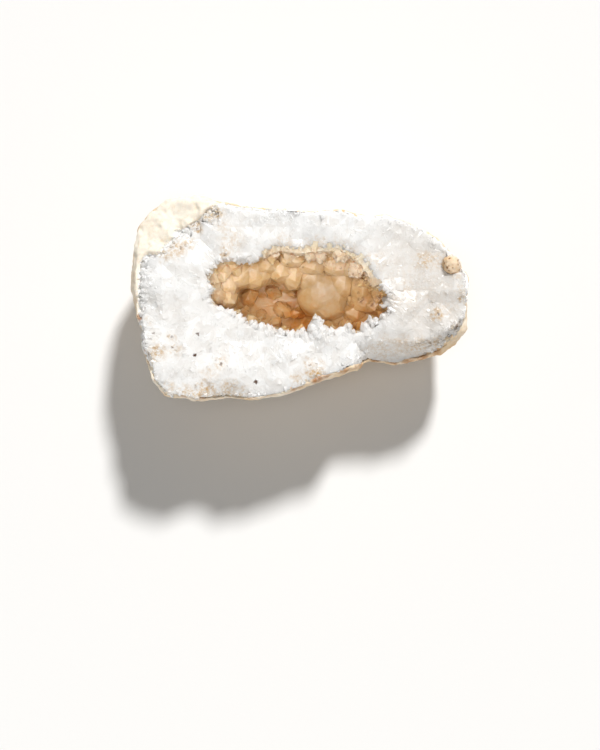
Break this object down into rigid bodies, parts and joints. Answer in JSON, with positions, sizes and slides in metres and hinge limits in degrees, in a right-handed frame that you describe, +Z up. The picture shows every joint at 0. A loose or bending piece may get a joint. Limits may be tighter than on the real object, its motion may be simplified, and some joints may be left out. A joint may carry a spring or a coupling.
{
  "type": "quartz geode half",
  "caption": "Broken half of a quartz geode: weathered rind, thick milky quartz wall and a crystal-lined hollow, resting on its rounded back.",
  "frame": {"origin": "middle of the underside, on the small flat spot that the half rests on", "axes": "+Z up through the hollow's mouth, +X along the half's length towards its narrower end with the knob"},
  "size_m": [0.102, 0.0616, 0.0381],
  "materials": {
    "weathered_rind": "chalky, matte, lumpy and pitted",
    "milky_quartz": "broken, granular, waxy to glassy gloss",
    "honey_crystals": "flat glassy crystal faces, iron-stained honey tint"
  },
  "bodies": {
    "root": {"rind": "weathered_rind", "quartz_wall": "milky_quartz", "crystal_crust": "honey_crystals"}
  },
  "joints": []
}
